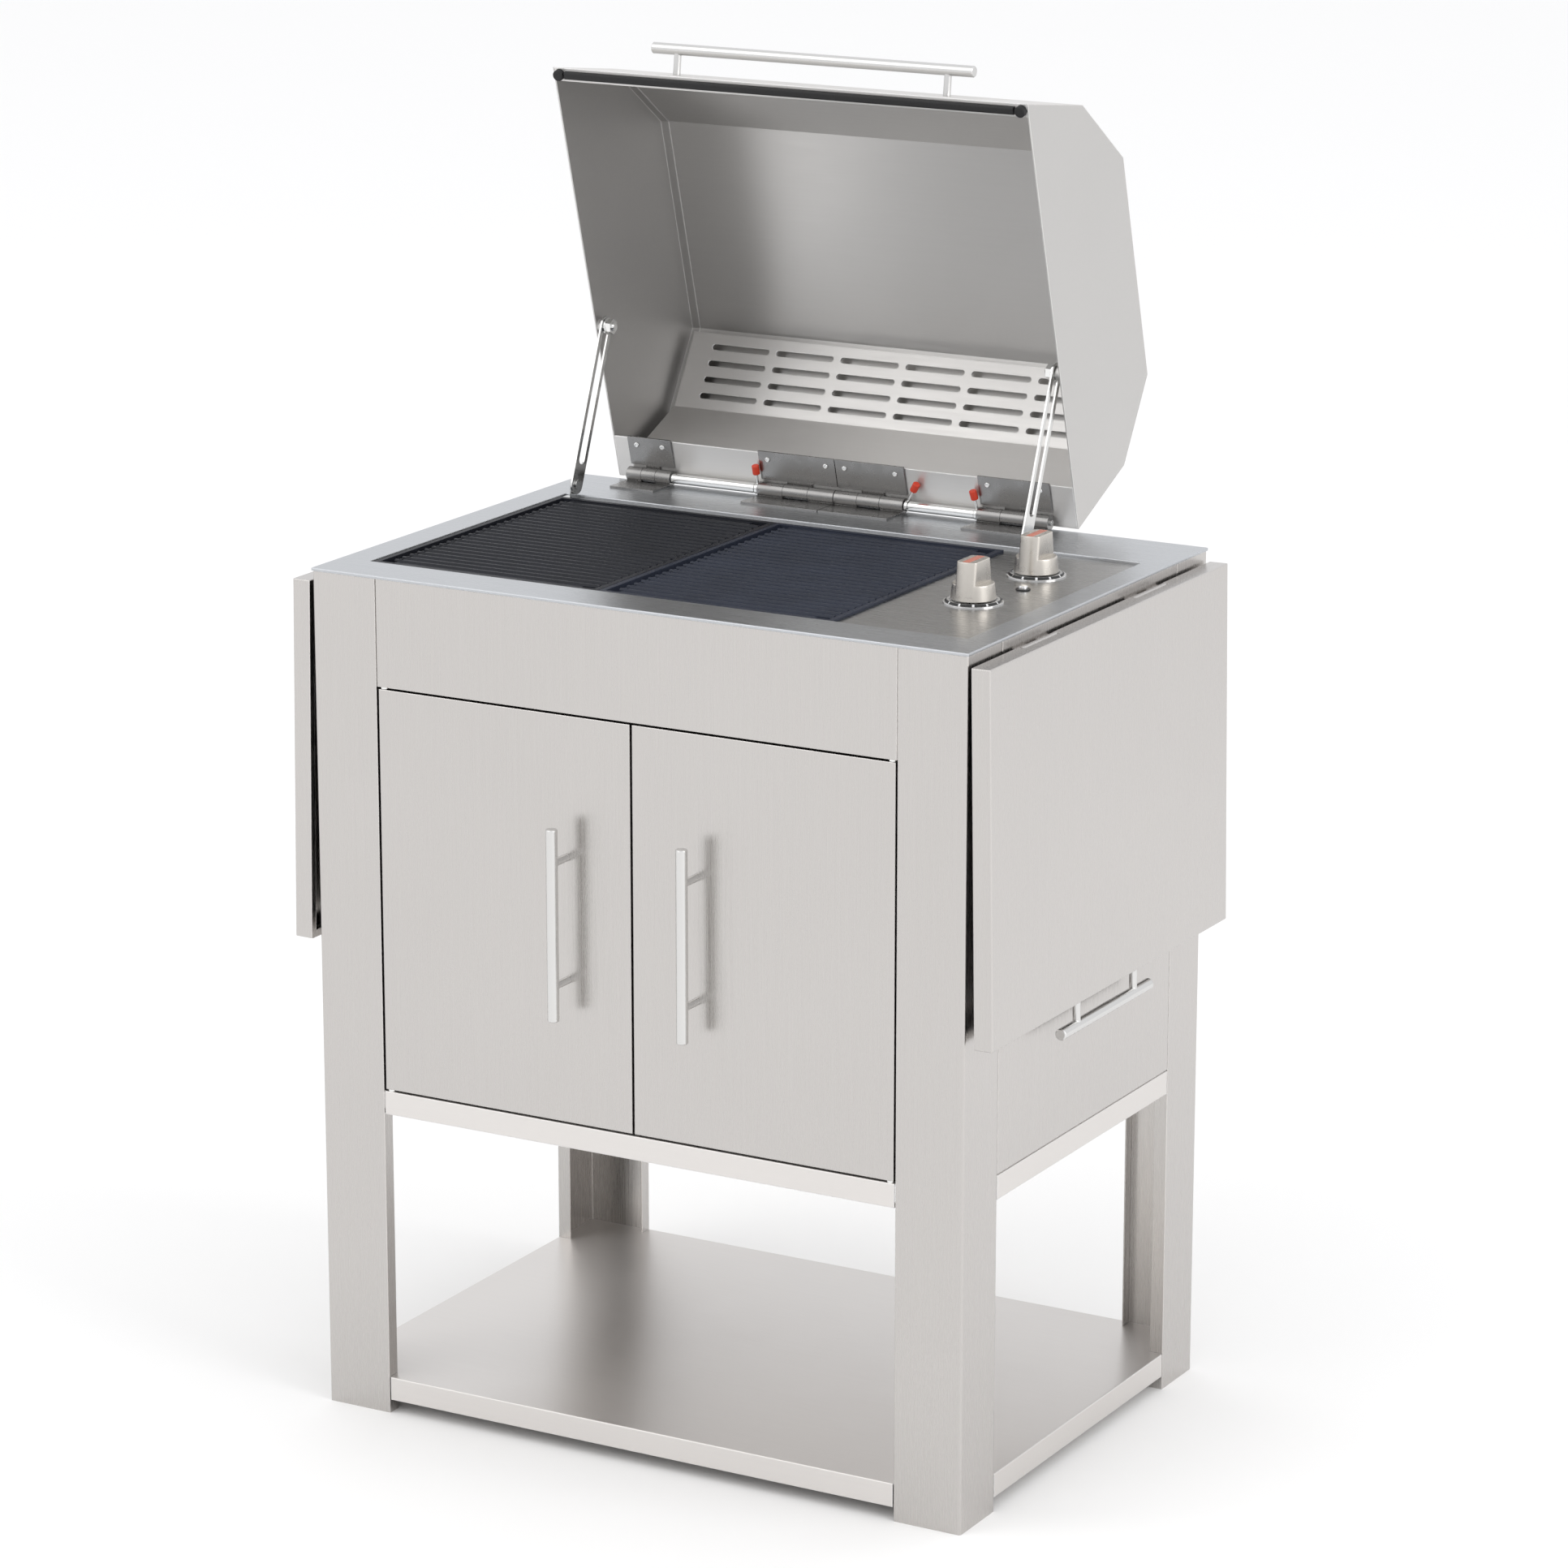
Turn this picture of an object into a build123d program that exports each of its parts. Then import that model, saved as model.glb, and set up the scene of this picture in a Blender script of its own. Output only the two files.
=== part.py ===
from build123d import *

import math
import os

# A gas barbecue on a folded sheet-metal cart with a hinged lid, two cast grill plates,
# two doors, and a drop leaf on each side.
# Millimetres. X runs to the right, Y to the back and Z up; the origin is on the floor
# under the middle of the cart. The lid rests open, and the doors and leaves rest shut.

# ---------------------------------------------------------------- driving dimensions

# cart
cart_width = 750.0
cart_depth = 530.0
worktop_height = 900.0
worktop_thickness = 3.0
worktop_overhang = 1.0
sheet = 1.5
seam = 1.5
seam_depth = 1.2
bend = 1.0
clearance = 0.3
overrun = 1.0
touching = 0.01
leg_face = 75.0
leg_side = 71.0
leg_lip = 15.0
shelf_top = 40.0
shelf_skirt = 25.0
cabinet_floor_top = 355.0
cabinet_skirt = 25.0
skirt_return = 12.0
slot_fit = 0.2
fascia_height = 112.0
fascia_return = 38.0
panel_return = 15.0

# worktop opening and deck
border_left = 34.5
border_right = 28.0
border_front = 54.0
border_rear = 95.0
deck_flange = 10.0

# grill plates
plate_width = 267.0
plate_length = 364.5
plate_gap = 1.0
plate_fit = 2.0
plate_ledge = 4.5
plate_rim = 6.0
plate_rim_height = 2.5
plate_depth = 8.0
plate_channel = 12.0
plate_side_fit = 0.5
rib_pitch = 13.6
rib_width = 5.0
rib_height = 2.0
rib_drop = 0.2
rib_end = 9.0
notch_size = 20.0

# firebox, burners and gas
firebox_depth = 95.0
firebox_flange = 8.0
firebox_clearance = 2.0
firebox_mouth_border = 60.0
burner_radius = 14.0
burner_wall = 1.5
burner_drop = 47.0
burner_spread = 160.0
burner_reach = 22.0
burner_hole_clearance = 1.0
port_radius = 1.5
port_count = 12
manifold_radius = 8.0
manifold_drop = 51.0
manifold_overrun = 16.0
valve_size = 24.0
feed_radius = 4.0
feed_drop = 27.0
feed_bend = 8.0
nozzle_radius = 4.0
nozzle_length = 25.0
inlet_y = 227.0
inlet_nut_radius = 9.0
inlet_nut_height = 8.0
hose_hole_radius = 16.0
electrode_radius = 2.0
electrode_length = 26.0
electrode_inset = 12.0

# controls
knob_x = 273.5
knob_places = {"front": -60.0, "rear": 77.0}
knob_radius = 23.0
knob_top_radius = 21.0
knob_base_height = 16.0
knob_height = 39.0
knob_grip_width = 22.0
knob_grip_top = 37.0
knob_grip_inset = 0.2
knob_base_round = 1.5
knob_grip_round = 4.0
knob_top_round = 1.0
knob_recess_radius = 12.0
knob_recess_depth = 4.5
knob_push = 4.0
spindle_radius = 4.0
spindle_length = 34.0
running_gap = 0.08
collar_radius = 9.0
collar_height = 3.0
collar_gap = 0.5
knob_lift = knob_push + collar_gap
bezel_radius = 30.5
bezel_shoulder = 28.5
bezel_top_radius = 26.5
bezel_height = 3.5
bezel_flange = 1.2
bezel_gap = 1.0
igniter_x = 292.0
igniter_y = 12.0
igniter_radius = 4.6
igniter_rise = 3.2
igniter_travel = 2.5
igniter_body_radius = 6.5
igniter_flange_radius = 7.5
igniter_body_depth = 34.0

# drip tray
tray_width = 460.0
tray_height = 22.0
tray_x = -60.0
tray_front = -195.0
tray_gap = 0.6
tray_side_gap = 3.0
tray_face_height = 36.0
tray_face_margin = 12.0
tray_pull = 12.0
rail_width = 16.0

# doors
door_gap = 2.5
door_depth = 18.0
door_lip = 12.0
door_pivot_inset = 5.0
door_pin_radius = 2.5
door_pin_length = 12.0
door_collar_radius = 4.5
catch_width = 40.0
catch_height = 14.0
catch_depth = 12.0
catch_gap = 0.5

# bar handles
bar_radius = 6.0
post_radius = 4.0
handle_standoff = 29.0
door_handle_length = 200.0
door_handle_posts = 128.0
door_handle_x = 75.0
door_handle_z = 572.5
lid_handle_length = 380.0
lid_handle_posts = 320.0

# lid: the profile gives (distance forward from the rear bottom edge, height)
lid_left = -334.0
lid_right = 225.0
lid_profile = [(0.0, 0.0), (19.0, 115.0), (90.0, 190.0), (339.0, 190.0), (429.0, 115.0), (478.0, 0.0)]
lid_rear_rim = 48.0
lid_front_rim = 15.0
lid_end_flange = 10.0
lid_open_angle = 74.4
lid_dip_angle = 1.0
lid_handle_height = 49.0
lid_handle_standoff = 27.0
vent_sheet = 1.2
vent_line = [(32.0, 28.0), (20.0, 28.0), (31.0, 112.0), (93.0, 175.0)]
vent_rows = 4
vent_columns = 6
vent_row_pitch = 19.0
vent_column_pitch = 80.5
vent_shift = -3.0
vent_slot_length = 71.5
vent_slot_width = 6.5
seal_width = 8.0
seal_height = 5.0
buffer_radius = 6.0
buffer_height = 6.0

# lid hinge
hinge_y = 260.0
hinge_height = 8.0
hinge_setback = 8.2
hinge_rod_radius = 3.0
hinge_leaf = 2.0
hinge_leaf_length = 42.0
knuckle_gap = 0.4
hinge_sets = [(-315.0, -261.0), (-152.0, -59.0), (-58.0, 25.0), (113.0, 197.0)]
hinge_tubes = [(-260.5, -157.5), (30.5, 108.5)]
tube_radius = 5.5
spring_places = [(-154.8, 0.0), (27.8, 14.0), (110.8, -3.0)]
spring_width = 3.4
spring_ring_radius = 6.0
spring_wire_radius = 1.5
spring_leg = 27.0
spring_cap_radius = 4.0
spring_cap_length = 11.0

# lid stays
stay_plate_gap = 1.0
stay_pivot_height = 15.0
stay_stud_forward = 176.0
stay_stud_height = 8.0
stay_inset = 7.5
stay_thickness = 2.0
stay_width = 22.0
stay_slot = 11.0
stay_pin_radius = 3.0
stay_pin_head = 5.5
stay_side_gap = 0.5
stay_ear_width = 12.0
stud_radius = 5.0
stud_boss_radius = 7.0
stud_washer_radius = 9.0
stud_washer = 1.5
stud_nut_radius = 8.5
stud_nut = 6.5
stud_tip = 2.5

# drop leaves
leaf_length = 530.0
leaf_drop = 380.0
leaf_thickness = 20.0
leaf_gap = 4.0
leaf_top_gap = 2.0
leaf_splay = 1.0
leaf_lip = 8.0
leaf_hinge_places = (-130.0, 115.0)
leaf_hinge_width = 72.0
leaf_hinge_inset = 2.5
leaf_knuckle_radius = 4.0
leaf_pin_radius = 2.0
leaf_plate = 2.0
leaf_handle_length = 200.0
leaf_handle_posts = 128.0
leaf_stay_pivot = 140.0
leaf_stay_length = 200.0
leaf_stay_spread = 300.0
leaf_stay_thickness = 4.0
leaf_stay_width = 12.0
leaf_stay_bar_radius = 4.0
leaf_stay_ear = 2.0
leaf_stay_pin_radius = 2.5
leaf_stay_side_gap = 0.4
leaf_catch_height = 4.5
leaf_catch_drop = 4.5
leaf_catch_reach = 3.3

# ---------------------------------------------------------------- worked-out places

half_width = cart_width / 2
half_depth = cart_depth / 2
lip_x = half_width - leg_face
lip_y = half_depth - leg_side
frame_top = worktop_height - worktop_thickness
deck_under = frame_top - sheet
fascia_bottom = frame_top - fascia_height

opening_left = -half_width + border_left
opening_right = half_width - border_right
opening_front = -half_depth + border_front
opening_rear = half_depth - border_rear

plates_left = opening_left + plate_fit
plates_right = plates_left + 2 * plate_width + plate_gap
plates_front = opening_front + plate_fit / 2
plates_rear = plates_front + plate_length
window_left = plates_left + plate_ledge
window_right = plates_right - plate_ledge
window_front = plates_front + plate_ledge
window_rear = plates_rear - plate_ledge

box_left = window_left - firebox_clearance
box_right = window_right + firebox_clearance
box_front = window_front - firebox_clearance
box_rear = window_rear + firebox_clearance
box_bottom = deck_under - firebox_depth
burner_z = deck_under - burner_drop
burner_middle = (box_front + box_rear) / 2
burner_places = {"front": burner_middle - burner_spread / 2, "rear": burner_middle + burner_spread / 2}

hinge_z = worktop_height + hinge_height
knuckle_radius = hinge_height
lid_rear = hinge_y + hinge_setback
lid_bottom = hinge_z + knuckle_radius
lid_middle = (lid_left + lid_right) / 2

parts = {}

# ---------------------------------------------------------------- shapes


def block(low, high):
    """Box between two opposite corners."""
    size = [b - a for a, b in zip(low, high)]
    middle = [(a + b) / 2 for a, b in zip(low, high)]
    return Pos(*middle) * Box(*size)


def rod(start, end, radius):
    """Round bar between two points."""
    run = Vector(*end) - Vector(*start)
    return extrude(Plane(origin=start, z_dir=run) * Circle(radius), run.length)


def prism(axis, outline, start, stop):
    """Even solid from start to stop along an axis; the outline gives its other two coordinates in order."""
    corners = {
        "x": [(start, a, b) for a, b in outline],
        "y": [(a, start, b) for a, b in outline],
        "z": [(a, b, start) for a, b in outline],
    }[axis]
    direction = {"x": (1, 0, 0), "y": (0, 1, 0), "z": (0, 0, 1)}[axis]
    face = make_face(Polyline(*corners, close=True))
    return extrude(face, stop - start, dir=direction)


def left_side(start, end):
    """Unit vector to the left of the run from start to end."""
    length = math.dist(start, end)
    return (-(end[1] - start[1]) / length, (end[0] - start[0]) / length)


def shifted(points, distance):
    """Open line of points moved to its left by a distance."""
    sides = [left_side(a, b) for a, b in zip(points, points[1:])]
    before = [sides[0]] + sides
    after = sides + [sides[-1]]
    moved = []
    for (x, y), (ax, ay), (bx, by) in zip(points, before, after):
        reach = distance / (1 + ax * bx + ay * by)
        moved.append((x + (ax + bx) * reach, y + (ay + by) * reach))
    return moved


def folded_sheet(axis, points, thickness, start, stop):
    """Sheet folded along a line of points, lying to the left of it."""
    return prism(axis, points + shifted(points, thickness)[::-1], start, stop)


def rounded_along(shape, axis, radius, keep):
    """Shape with the edges that run along an axis rounded where keep(centre) holds."""
    edges = [edge for edge in shape.edges().filter_by(axis) if keep(edge.center())]
    return fillet(edges, radius)


def folded_panel(width, height, depth, side_joint=0.0, bottom_joint=0.0, lip=0.0):
    """Upright tray of sheet, its face on Y = 0 looking along -Y. A joint is a return past the face."""
    face = block((-width / 2, 0, 0), (width / 2, sheet, height))
    start = seam_depth if side_joint or bottom_joint else 0
    outer = block((-width / 2 - side_joint, start, -bottom_joint), (width / 2 + side_joint, depth, height))
    inner = block((-width / 2 + sheet, 0, sheet), (width / 2 - sheet, depth, height - sheet))
    panel = face + (outer - inner)
    if lip:
        back = block((-width / 2, depth - sheet, 0), (width / 2, depth, height))
        panel = panel + (back - block((-width / 2 + lip, 0, lip), (width / 2 - lip, depth, height - lip)))
    return panel


def pan(top, skirt):
    """Shelf tray: a plate reaching into the legs, slotted for their lips, with four folded skirts between."""
    bottom = top - skirt
    inside_x = half_width - sheet
    inside_y = half_depth - sheet
    tray = block((-inside_x, -inside_y, top - sheet), (inside_x, inside_y, top))
    for x, y in ((-1, -1), (1, -1), (-1, 1), (1, 1)):
        slot_x = sorted((x * (lip_x - slot_fit), x * (lip_x + sheet + slot_fit)))
        slot_y = sorted((y * (half_depth - leg_lip - slot_fit), y * half_depth))
        tray -= block((slot_x[0], slot_y[0], top - sheet), (slot_x[1], slot_y[1], top))
        slot_x = sorted((x * (half_width - leg_lip - slot_fit), x * half_width))
        slot_y = sorted((y * (lip_y - slot_fit), y * (lip_y + sheet + slot_fit)))
        tray -= block((slot_x[0], slot_y[0], top - sheet), (slot_x[1], slot_y[1], top))
    for side in (-1, 1):
        outer = side * half_depth
        edges = sorted((outer, outer - side * sheet))
        tray += block((-lip_x + seam, edges[0], bottom), (lip_x - seam, edges[1], top))
        edges = sorted((outer, outer - side * skirt_return))
        tray += block((-lip_x + seam, edges[0], bottom), (lip_x - seam, edges[1], bottom + sheet))
        outer = side * half_width
        edges = sorted((outer, outer - side * sheet))
        tray += block((edges[0], -lip_y + seam, bottom), (edges[1], lip_y - seam, top))
        edges = sorted((outer, outer - side * skirt_return))
        tray += block((edges[0], -lip_y + seam, bottom), (edges[1], lip_y - seam, bottom + sheet))

    def at_top(c):
        return abs(c.Z - top) < touching

    tray = rounded_along(tray, Axis.X, bend, lambda c: at_top(c) and abs(c.Y) > half_depth - touching)
    return rounded_along(tray, Axis.Y, bend, lambda c: at_top(c) and abs(c.X) > half_width - touching)


def bar_handle(length, posts, standoff):
    """Straight bar along X on two posts that stand up from Z = 0."""
    bar = rod((-length / 2, 0, standoff), (length / 2, 0, standoff), bar_radius)
    bar = chamfer(bar.edges().filter_by(GeomType.CIRCLE), bar_radius / 8)
    for x in (-posts / 2, posts / 2):
        bar += rod((x, 0, 0), (x, 0, standoff), post_radius)
    return bar


def mirrored(shape):
    """The same shape on the other side of the cart."""
    return mirror(shape, about=Plane.YZ)


# ---------------------------------------------------------------- cart

leg_line = [
    (lip_x, -half_depth + leg_lip),
    (lip_x, -half_depth),
    (half_width, -half_depth),
    (half_width, -lip_y),
    (half_width - leg_lip, -lip_y),
]
leg = folded_sheet("z", leg_line, sheet, 0, frame_top)


def at_corner(c):
    """Whether a point lies on the front right corner."""
    return c.X > half_width - touching and c.Y < -half_depth + touching


leg = rounded_along(leg, Axis.Z, bend + sheet, at_corner)
parts["leg_front_right"] = leg
parts["leg_front_left"] = mirrored(leg)
parts["leg_rear_right"] = mirror(leg, about=Plane.XZ)
parts["leg_rear_left"] = mirrored(parts["leg_rear_right"])

parts["bottom_shelf"] = pan(shelf_top, shelf_skirt)
parts["cabinet_floor"] = pan(cabinet_floor_top, cabinet_skirt)

fascia = folded_panel(2 * (lip_x - seam), fascia_height, fascia_return, side_joint=seam)
parts["front_fascia"] = Pos(0, -half_depth, fascia_bottom) * fascia

panel_bottom = cabinet_floor_top + seam
panel_height = frame_top - panel_bottom
side_panel = folded_panel(2 * (lip_y - seam), panel_height, panel_return, side_joint=seam, bottom_joint=seam)
parts["side_panel_right"] = Pos(half_width, 0, panel_bottom) * Rot(0, 0, 90) * side_panel
parts["side_panel_left"] = mirrored(parts["side_panel_right"])

# ---------------------------------------------------------------- drip tray and rear panel

tray_top = box_bottom - tray_gap
tray_bottom = tray_top - tray_height
tray_left = tray_x - tray_width / 2
tray_right = tray_x + tray_width / 2
mouth_top = tray_top + tray_gap
mouth_bottom = tray_bottom - tray_gap

rear_panel = folded_panel(2 * (lip_x - seam), panel_height, panel_return, side_joint=seam, bottom_joint=seam)
rear_panel = Pos(0, half_depth, panel_bottom) * Rot(0, 0, 180) * rear_panel
rear_panel -= block(
    (tray_left - tray_side_gap, half_depth - 2 * sheet, mouth_bottom - tray_gap),
    (tray_right + tray_side_gap, half_depth + sheet, mouth_top + tray_gap),
)
hose_z = deck_under - manifold_drop
hose_hole_start = (knob_x, half_depth - 2 * sheet, hose_z)
rear_panel -= rod(hose_hole_start, (knob_x, half_depth + sheet, hose_z), hose_hole_radius)
parts["rear_panel"] = rear_panel

drip_tray = block((tray_left, tray_front, tray_bottom), (tray_right, half_depth + seam, tray_top))
drip_tray -= block(
    (tray_left + sheet, tray_front + sheet, tray_bottom + sheet),
    (tray_right - sheet, half_depth - panel_return, tray_top),
)
drip_tray -= block(
    (tray_left + sheet, half_depth - panel_return + sheet, tray_bottom + sheet),
    (tray_right - sheet, half_depth + seam, tray_top),
)
face_low = tray_bottom - (tray_face_height - tray_height) / 2
face_left = tray_left - tray_face_margin
face_right = tray_right + tray_face_margin
face_back = half_depth + tray_gap + sheet
face_high = face_low + tray_face_height
drip_tray += block((face_left, half_depth + tray_gap, face_low), (face_right, face_back, face_high))
drip_tray += block(
    (face_left, half_depth + tray_gap, face_low + tray_face_height - sheet),
    (face_right, face_back + tray_pull, face_low + tray_face_height),
)
parts["drip_tray"] = drip_tray

rail_low = tray_bottom - tray_gap - sheet
rails = []
for side in (-1, 1):
    inner_x = tray_x + side * (tray_width / 2 + tray_side_gap)
    line = [
        (inner_x - side * rail_width, rail_low),
        (inner_x + side * sheet, rail_low),
        (inner_x + side * sheet, box_bottom),
    ]
    rails.append(folded_sheet("y", line, side * sheet, tray_front, half_depth - sheet))
parts["tray_rails"] = Compound(rails)

# ---------------------------------------------------------------- worktop and deck

worktop = block(
    (-half_width - worktop_overhang, -half_depth - worktop_overhang, frame_top),
    (half_width + worktop_overhang, half_depth + worktop_overhang, worktop_height),
)
worktop -= block((opening_left, opening_front, frame_top), (opening_right, opening_rear, worktop_height))
worktop = rounded_along(worktop, Axis.Z, bend, lambda c: abs(c.X) > half_width)
worktop = chamfer(
    [e for e in worktop.edges().filter_by(Plane.XY) if abs(e.center().Z - worktop_height) < touching],
    worktop_thickness / 6,
)
parts["worktop_frame"] = worktop

knob_points = {name: (knob_x, y) for name, y in knob_places.items()}
bezel_bore = knob_radius + bezel_gap
deck = block(
    (opening_left - deck_flange, opening_front - deck_flange, deck_under),
    (opening_right + deck_flange, opening_rear + deck_flange, frame_top),
)
deck -= block((window_left, window_front, deck_under), (window_right, window_rear, frame_top))
for x, y in knob_points.values():
    deck -= rod((x, y, deck_under), (x, y, frame_top), spindle_radius + bezel_gap)
deck -= rod((igniter_x, igniter_y, deck_under), (igniter_x, igniter_y, frame_top), igniter_body_radius)
parts["control_deck"] = deck

# ---------------------------------------------------------------- firebox, burners and gas

box_lip = box_bottom + sheet
firebox = block((box_left, box_front, box_bottom), (box_right, box_rear, deck_under))
firebox += block(
    (box_left - firebox_flange, box_front - firebox_flange, deck_under - sheet),
    (box_right + firebox_flange, box_rear + firebox_flange, deck_under),
)
firebox -= block(
    (box_left + sheet, box_front + sheet, box_lip), (box_right - sheet, box_rear - sheet, deck_under)
)
firebox -= block(
    (box_left + firebox_mouth_border, box_front + firebox_mouth_border, box_bottom),
    (box_right - firebox_mouth_border, box_rear - firebox_mouth_border, box_lip),
)
for y in burner_places.values():
    firebox -= rod(
        (box_right - 2 * sheet, y, burner_z),
        (box_right + sheet, y, burner_z),
        burner_radius + burner_hole_clearance,
    )
parts["firebox"] = firebox

burner_start = box_left + sheet
burner_end = box_right + burner_reach
burners = []
for y in burner_places.values():
    tube = rod((burner_start, y, burner_z), (burner_end, y, burner_z), burner_radius)
    tube -= rod(
        (burner_start + burner_wall, y, burner_z),
        (burner_end - burner_wall, y, burner_z),
        burner_radius - burner_wall,
    )
    port_step = (box_right - box_left) / (port_count + 1)
    for count in range(1, port_count + 1):
        x = box_left + count * port_step
        tube -= rod((x, y, burner_z), (x, y, burner_z + burner_radius), port_radius)
    spark_y = y + burner_radius + electrode_radius
    spark_x = box_right - electrode_inset
    spark_tip = (spark_x - electrode_length, spark_y, burner_z)
    tube += rod((spark_x, spark_y, burner_z), spark_tip, electrode_radius)
    tube += block(
        (spark_x - 2 * electrode_radius, y + burner_radius - burner_wall, burner_z - electrode_radius),
        (spark_x, spark_y, burner_z + electrode_radius),
    )
    burners.append(tube)
parts["burners"] = Compound(burners)

manifold_z = hose_z
feed_z = deck_under - feed_drop
manifold_start = knob_places["front"] - manifold_overrun
manifold = rod((knob_x, manifold_start, manifold_z), (knob_x, inlet_y, manifold_z), manifold_radius)
nut_face = Plane(origin=(knob_x, inlet_y, manifold_z), z_dir=(0, 1, 0))
manifold += extrude(nut_face * RegularPolygon(inlet_nut_radius, 6), inlet_nut_height)
nozzle_start = inlet_y + inlet_nut_height
nozzle_end = nozzle_start + nozzle_length
manifold += rod((knob_x, nozzle_start, manifold_z), (knob_x, nozzle_end, manifold_z), nozzle_radius)

valves = []
for name, (x, y) in knob_points.items():
    half_valve = valve_size / 2
    body = block((x - half_valve, y - half_valve, manifold_z), (x + half_valve, y + half_valve, deck_under))
    bore_bottom = deck_under - spindle_length + knob_lift - sheet
    outlet_x = x - half_valve
    turn_x = (outlet_x + burner_end) / 2
    route = FilletPolyline(
        (outlet_x, y, feed_z),
        (turn_x, y, feed_z),
        (turn_x, burner_places[name], burner_z),
        (burner_end, burner_places[name], burner_z),
        radius=feed_bend,
    )
    body += sweep(Plane(route @ 0, z_dir=route % 0) * Circle(feed_radius), route)
    body -= rod((x, y, bore_bottom), (x, y, deck_under), spindle_radius + running_gap)
    body -= rod((x, manifold_start, manifold_z), (x, inlet_y, manifold_z), manifold_radius)
    valves.append(body)
parts["gas_manifold"] = manifold
parts["gas_valves"] = Compound(valves)

# ---------------------------------------------------------------- knobs and igniter

knob_bottom = frame_top + knob_lift
bezels = []
for name, (x, y) in knob_points.items():
    profile = [
        (bezel_bore, 0),
        (bezel_radius, 0),
        (bezel_radius, bezel_flange),
        (bezel_shoulder, bezel_flange + bezel_flange / 4),
        (bezel_top_radius, bezel_height),
        (bezel_bore, bezel_height),
    ]
    ring = revolve(Plane.XZ * make_face(Polyline(*profile, close=True)), Axis.Z)
    bezels.append(Pos(x, y, frame_top) * ring)

    base = loft([Circle(knob_radius).face(), Pos(0, 0, knob_base_height) * Circle(knob_top_radius).face()])
    base = fillet(base.edges().group_by(Axis.Z)[-1], knob_base_round)
    grip = block(
        (-knob_grip_width / 2, -knob_radius, knob_recess_depth),
        (knob_grip_width / 2, knob_radius, knob_height),
    )
    grip_foot = Pos(0, 0, knob_recess_depth) * Circle(knob_radius - knob_grip_inset).face()
    grip &= loft([grip_foot, Pos(0, 0, knob_height) * Circle(knob_grip_top / 2).face()])
    grip = fillet(grip.edges().filter_by(lambda e: abs(e.tangent_at(0.5).Z) > 0.5), knob_grip_round)
    grip = fillet(grip.edges().group_by(Axis.Z)[-1], knob_top_round)
    knob = base + grip
    knob -= extrude(Circle(knob_recess_radius), knob_recess_depth)
    spindle_foot = knob_recess_depth - spindle_length
    knob += rod((0, 0, spindle_foot), (0, 0, knob_recess_depth), spindle_radius)
    parts[f"knob_{name}"] = Pos(x, y, knob_bottom) * knob

    collar = extrude(Circle(collar_radius) - Circle(spindle_radius + running_gap), collar_height)
    collar_z = knob_bottom + knob_recess_depth - collar_height - collar_gap
    parts[f"knob_collar_{name}"] = Pos(x, y, collar_z) * collar
parts["knob_bezels"] = Compound(bezels)

igniter_top = frame_top + bezel_flange + igniter_rise
housing = rod(
    (igniter_x, igniter_y, frame_top - igniter_body_depth),
    (igniter_x, igniter_y, frame_top),
    igniter_body_radius,
)
housing += rod(
    (igniter_x, igniter_y, frame_top), (igniter_x, igniter_y, frame_top + bezel_flange), igniter_flange_radius
)
button_foot = igniter_top - igniter_body_depth / 2
housing -= rod(
    (igniter_x, igniter_y, button_foot - igniter_travel - sheet),
    (igniter_x, igniter_y, frame_top + bezel_flange),
    igniter_radius + running_gap,
)
parts["igniter_housing"] = housing
button = rod((igniter_x, igniter_y, button_foot), (igniter_x, igniter_y, igniter_top), igniter_radius)
parts["igniter_button"] = fillet(button.edges().group_by(Axis.Z)[-1], igniter_radius / 4)

# ---------------------------------------------------------------- grill plates


def grill_plate(left, hand):
    """Cast plate: a ledge that sits on the deck, a rim, a grease channel on the left, and ribs along X."""
    right = left + plate_width
    top = frame_top + plate_rim_height
    floor = top - rib_height
    outer_left = window_left + plate_side_fit if hand == "left" else left
    outer_right = window_right - plate_side_fit if hand == "right" else right
    plate = block((left, plates_front, frame_top), (right, plates_rear, top))
    plate += block(
        (outer_left, window_front + plate_side_fit, frame_top - plate_depth),
        (outer_right, window_rear - plate_side_fit, frame_top),
    )
    plate -= block(
        (left + plate_rim, plates_front + plate_rim, floor), (right - plate_rim, plates_rear - plate_rim, top)
    )
    channel_right = left + plate_rim + plate_channel
    plate -= block(
        (left + plate_rim, plates_front + plate_rim, floor - 2 * rib_height),
        (channel_right, plates_rear - plate_rim, floor),
    )
    width = rib_width
    run = plates_rear - plates_front - 2 * plate_rim - width
    steps = int(run / rib_pitch)
    pitch = run / steps
    for count in range(steps + 1):
        y = plates_front + plate_rim + width / 2 + count * pitch
        if count in (0, steps):
            continue
        outline = [
            (y - width / 2, floor),
            (y + width / 2, floor),
            (y + width / 4, top - rib_drop),
            (y - width / 4, top - rib_drop),
        ]
        plate += prism("x", outline, channel_right - rib_end / 2, right - rib_end)
    for y in (plates_front + plate_rim, plates_rear - plate_rim - plate_channel):
        plate -= block(
            (right - plate_rim - notch_size, y, floor - 2 * rib_height),
            (right - plate_rim, y + plate_channel, top),
        )
    return plate


parts["grill_plate_left"] = grill_plate(plates_left, "left")
parts["grill_plate_right"] = grill_plate(plates_left + plate_width + plate_gap, "right")

# ---------------------------------------------------------------- doors

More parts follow.
